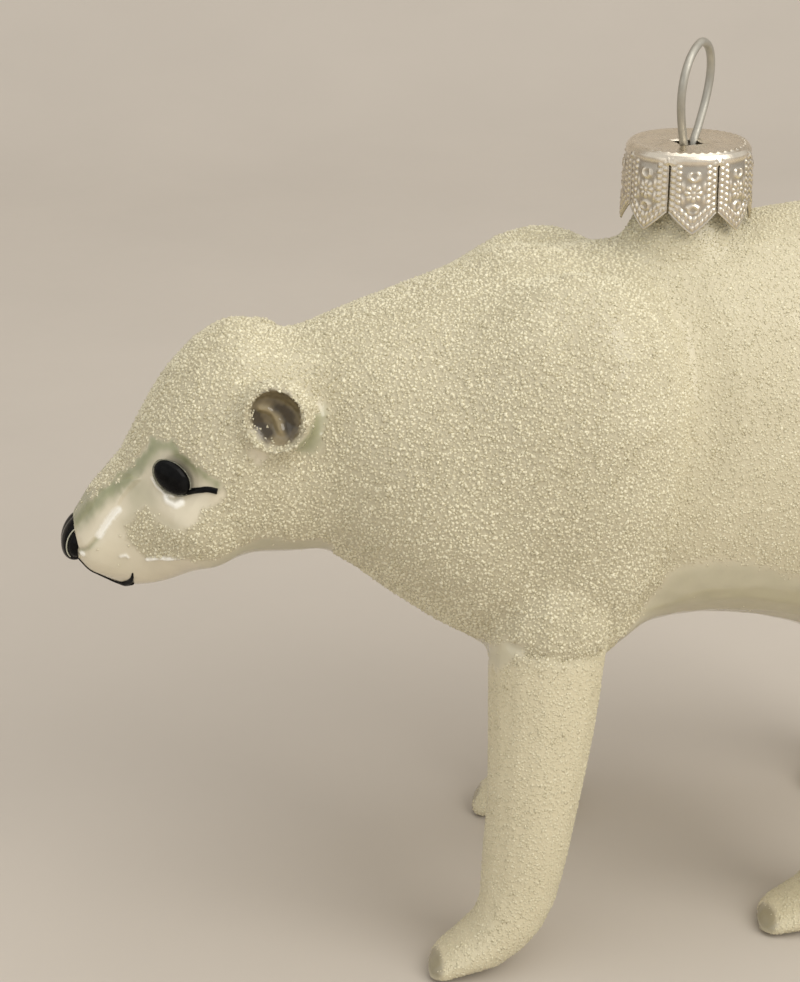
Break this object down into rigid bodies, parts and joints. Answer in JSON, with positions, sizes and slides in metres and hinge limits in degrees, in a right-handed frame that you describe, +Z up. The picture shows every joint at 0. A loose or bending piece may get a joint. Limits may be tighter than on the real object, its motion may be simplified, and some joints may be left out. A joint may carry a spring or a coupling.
{
  "type": "blown-glass polar bear ornament",
  "caption": "Walking polar bear blown in glass, crusted with white glass granules, with enamelled eyes and nose and a crimped crown cap with a wire hanging loop.",
  "frame": {"origin": "middle of the ornament's footprint, on the surface that it stands on", "axes": "+Z up; the bear faces -X; its left side faces -Y and its right side +Y"},
  "size_m": [0.1008, 0.0394, 0.0896],
  "materials": {
    "crusted_glass": "milky glazed glass, most of it under a sparkling crust of white glass granules",
    "black_enamel": "high gloss",
    "silvered_cap": "stamped tinplate, bright, with embossed ornament",
    "hanger_wire": "satin drawn wire"
  },
  "bodies": {
    "root": {"muzzle": "crusted_glass", "head": "crusted_glass", "neck": "crusted_glass", "trunk": "crusted_glass", "rump": "crusted_glass", "tail": "crusted_glass", "ear_left": "crusted_glass", "ear_right": "crusted_glass", "leg_front_left": "crusted_glass", "leg_front_right": "crusted_glass", "leg_hind_left": "crusted_glass", "leg_hind_right": "crusted_glass", "paw_front_left": "crusted_glass", "paw_front_right": "crusted_glass", "paw_hind_left": "crusted_glass", "paw_hind_right": "crusted_glass", "spout": "crusted_glass", "eye_left": "black_enamel", "eye_right": "black_enamel", "nose": "black_enamel", "cap": "silvered_cap", "hanger": "hanger_wire"}
  },
  "joints": []
}
